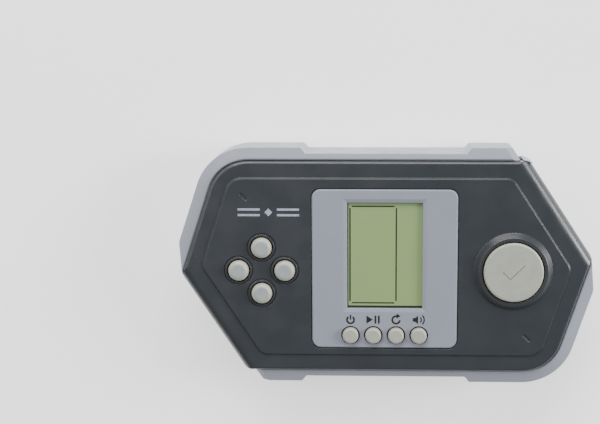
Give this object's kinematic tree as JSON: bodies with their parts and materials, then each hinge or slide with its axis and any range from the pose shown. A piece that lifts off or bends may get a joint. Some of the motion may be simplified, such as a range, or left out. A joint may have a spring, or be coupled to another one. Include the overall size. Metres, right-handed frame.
{
  "type": "handheld lcd game",
  "caption": "Pocket LCD game: elongated hexagonal two-tone case, framed screen, direction pad, large round action key, small key row and a battery door at the back.",
  "frame": {"origin": "middle of the case's outline, on the flat back face", "axes": "+Z out of the face with the screen, +X along the length to the player's right, +Y to the case's top edge"},
  "size_m": [0.144, 0.0826, 0.0263],
  "materials": {
    "charcoal_abs": "fine satin moulded",
    "grey_abs": "fine satin moulded",
    "plate_grey": "satin painted",
    "polariser": "semi-gloss film",
    "lcd_glass": "clear",
    "reflector_film": "silvery film",
    "natural_abs": "as moulded",
    "zebra_rubber": "matt",
    "phenolic_board": "resin board",
    "epoxy": "glossy",
    "resonator_blue": "dipped",
    "capacitor_sleeve": "shrunk sleeve",
    "resistor_black": "fired",
    "silicone": "matt",
    "brass": "rolled",
    "piezo_ceramic": "silvered",
    "cell_wrap": null,
    "contact_steel": "nickel plated",
    "lead_red": "soft vinyl",
    "lead_black": "soft vinyl",
    "screw_steel": "zinc plated",
    "key_cream": "satin"
  },
  "bodies": {
    "case": {"front_shell": "charcoal_abs", "back_shell": "grey_abs", "screen_plate": "plate_grey", "lcd_front_film": "polariser", "lcd_glass": "lcd_glass", "lcd_rear_film": "reflector_film", "lcd_holder": "natural_abs", "zebra_strip": "zebra_rubber", "main_board": "phenolic_board", "chip_glob": "epoxy", "ceramic_resonator": "resonator_blue", "smoothing_capacitor": "capacitor_sleeve", "chip_resistors": "resistor_black", "pad_mat": "silicone", "confirm_mat": "silicone", "row_mat": "silicone", "sounder_disc": "brass", "sounder_ceramic": "piezo_ceramic", "upper_cell": "cell_wrap", "lower_cell": "cell_wrap", "negative_contact": "contact_steel", "positive_contact": "contact_steel", "link_contact": "contact_steel", "battery_lead_red": "lead_red", "battery_lead_black": "lead_black", "sounder_lead_red": "lead_red", "sounder_lead_black": "lead_black", "case_screws": "screw_steel", "board_screws": "screw_steel"},
    "up_key": {"up_key": "key_cream"},
    "down_key": {"down_key": "key_cream"},
    "left_key": {"left_key": "key_cream"},
    "right_key": {"right_key": "key_cream"},
    "power_key": {"power_key": "key_cream"},
    "pause_key": {"pause_key": "key_cream"},
    "reset_key": {"reset_key": "key_cream"},
    "sound_key": {"sound_key": "key_cream"},
    "confirm_key": {"confirm_key": "key_cream"},
    "battery_door": {"battery_door": "grey_abs", "door_screws": "screw_steel"}
  },
  "joints": [
    {"name": "up_key_press", "type": "slide", "parent": "case", "child": "up_key", "axis": [0, 0, -1], "range_m": [0, 0.0012], "stiffness_N_per_m": 900, "springref_m": -0.0003, "deforming": ["pad_mat"]},
    {"name": "down_key_press", "type": "slide", "parent": "case", "child": "down_key", "axis": [0, 0, -1], "range_m": [0, 0.0012], "stiffness_N_per_m": 900, "springref_m": -0.0003, "deforming": ["pad_mat"]},
    {"name": "left_key_press", "type": "slide", "parent": "case", "child": "left_key", "axis": [0, 0, -1], "range_m": [0, 0.0012], "stiffness_N_per_m": 900, "springref_m": -0.0003, "deforming": ["pad_mat"]},
    {"name": "right_key_press", "type": "slide", "parent": "case", "child": "right_key", "axis": [0, 0, -1], "range_m": [0, 0.0012], "stiffness_N_per_m": 900, "springref_m": -0.0003, "deforming": ["pad_mat"]},
    {"name": "power_key_press", "type": "slide", "parent": "case", "child": "power_key", "axis": [0, 0, -1], "range_m": [0, 0.001], "stiffness_N_per_m": 900, "springref_m": -0.0003, "deforming": ["row_mat"]},
    {"name": "pause_key_press", "type": "slide", "parent": "case", "child": "pause_key", "axis": [0, 0, -1], "range_m": [0, 0.001], "stiffness_N_per_m": 900, "springref_m": -0.0003, "deforming": ["row_mat"]},
    {"name": "reset_key_press", "type": "slide", "parent": "case", "child": "reset_key", "axis": [0, 0, -1], "range_m": [0, 0.001], "stiffness_N_per_m": 900, "springref_m": -0.0003, "deforming": ["row_mat"]},
    {"name": "sound_key_press", "type": "slide", "parent": "case", "child": "sound_key", "axis": [0, 0, -1], "range_m": [0, 0.001], "stiffness_N_per_m": 900, "springref_m": -0.0003, "deforming": ["row_mat"]},
    {"name": "confirm_key_press", "type": "slide", "parent": "case", "child": "confirm_key", "axis": [0, 0, -1], "range_m": [0, 0.0012], "stiffness_N_per_m": 1100, "springref_m": -0.0003, "deforming": ["confirm_mat"]},
    {"name": "battery_door_lift", "type": "slide", "parent": "case", "child": "battery_door", "axis": [0, 0, -1], "range_m": [0, 0.012]}
  ]
}
